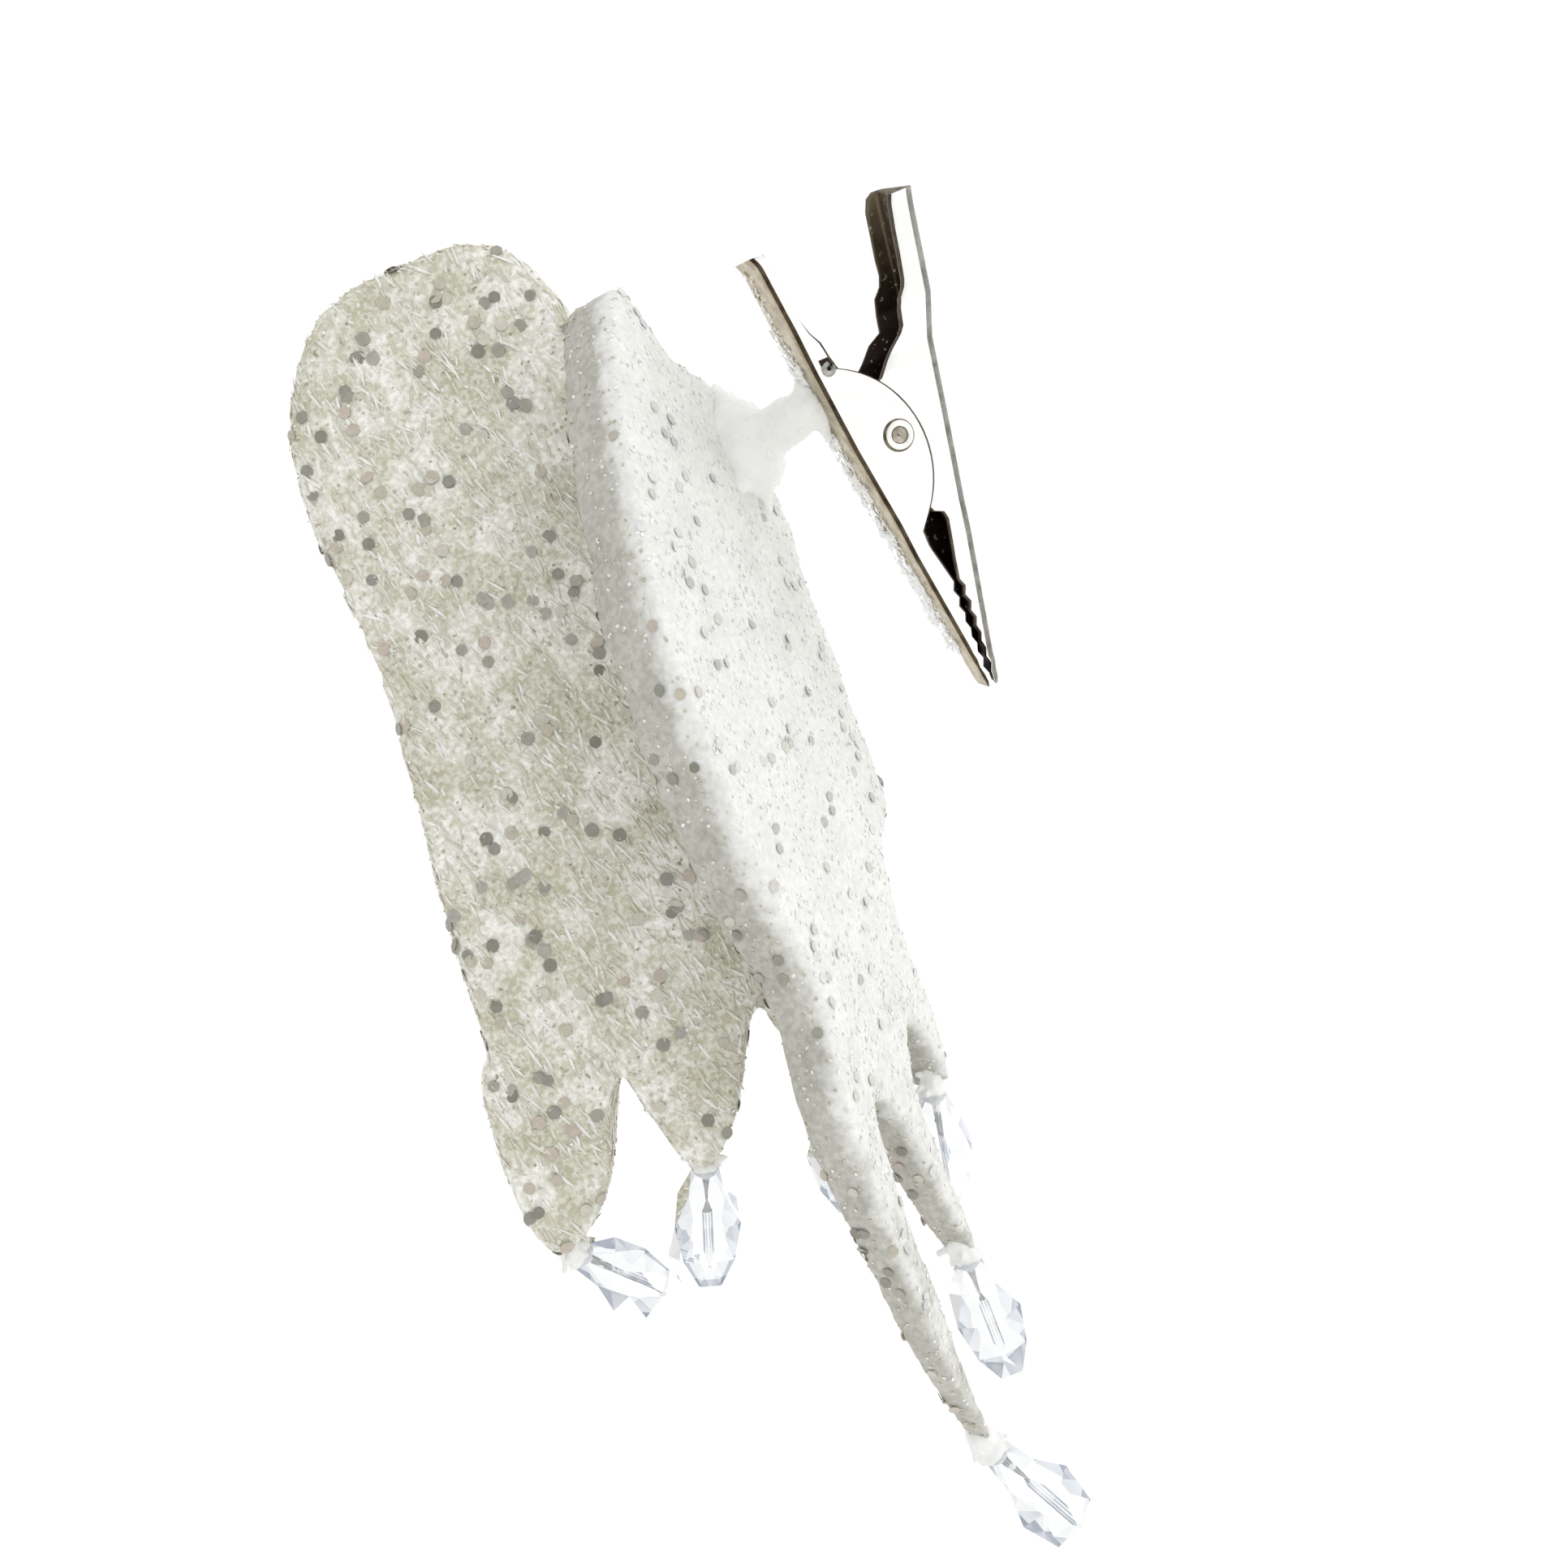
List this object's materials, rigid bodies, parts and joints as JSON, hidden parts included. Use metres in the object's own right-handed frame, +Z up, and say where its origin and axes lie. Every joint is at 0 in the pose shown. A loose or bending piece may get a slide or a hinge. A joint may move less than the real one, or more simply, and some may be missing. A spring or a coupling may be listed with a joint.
{
  "type": "clip-on icicle ornament",
  "caption": "Frosted foam icicle ornament with faceted drop beads on its finger tips, hung by a toothed spring clip glued to its back.",
  "frame": {"origin": "the clip's grip point, on the clip's middle plane where the toothed edges meet", "axes": "+Z up along the hanging panels, away from the finger tips; +Y the level direction the clip's rivet points in; +X across the jaws, from the fixed jaw to the moving jaw"},
  "size_m": [0.0647, 0.0353, 0.1422],
  "materials": {
    "foam_left": "frosted foam under a coat of glitter shreds and sequins",
    "foam_right": "frosted foam under a coat of fine glitter",
    "hot_glue": "milky hot glue",
    "crystal": "clear cut facets",
    "nickel": "bright nickel plate",
    "spring_steel": "plain wire"
  },
  "bodies": {
    "ornament": {"left_panel": "foam_left", "right_panel": "foam_right", "panel_seam_glue": "hot_glue", "clip_glue_film": "hot_glue", "clip_glue_post": "hot_glue", "clip_fixed_jaw": "nickel", "clip_rivet": "nickel", "clip_spring": "spring_steel", "left_crystal_1": "crystal", "left_glue_dab_1": "hot_glue", "left_crystal_2": "crystal", "left_glue_dab_2": "hot_glue", "left_crystal_3": "crystal", "left_glue_dab_3": "hot_glue", "right_crystal_1": "crystal", "right_glue_dab_1": "hot_glue", "right_crystal_2": "crystal", "right_glue_dab_2": "hot_glue", "right_crystal_3": "crystal", "right_glue_dab_3": "hot_glue"},
    "moving_jaw": {"clip_moving_jaw": "nickel"}
  },
  "joints": [
    {"name": "clip_jaw_hinge", "type": "hinge", "parent": "ornament", "child": "moving_jaw", "pos_m": [-0.00373, -0.00612, 0.02135], "axis": [0, -0.9613, -0.2756], "range_deg": [0, 30], "stiffness_Nm_per_rad": 0.12, "springref_deg": -20.05, "deforming": ["clip_spring"]}
  ]
}
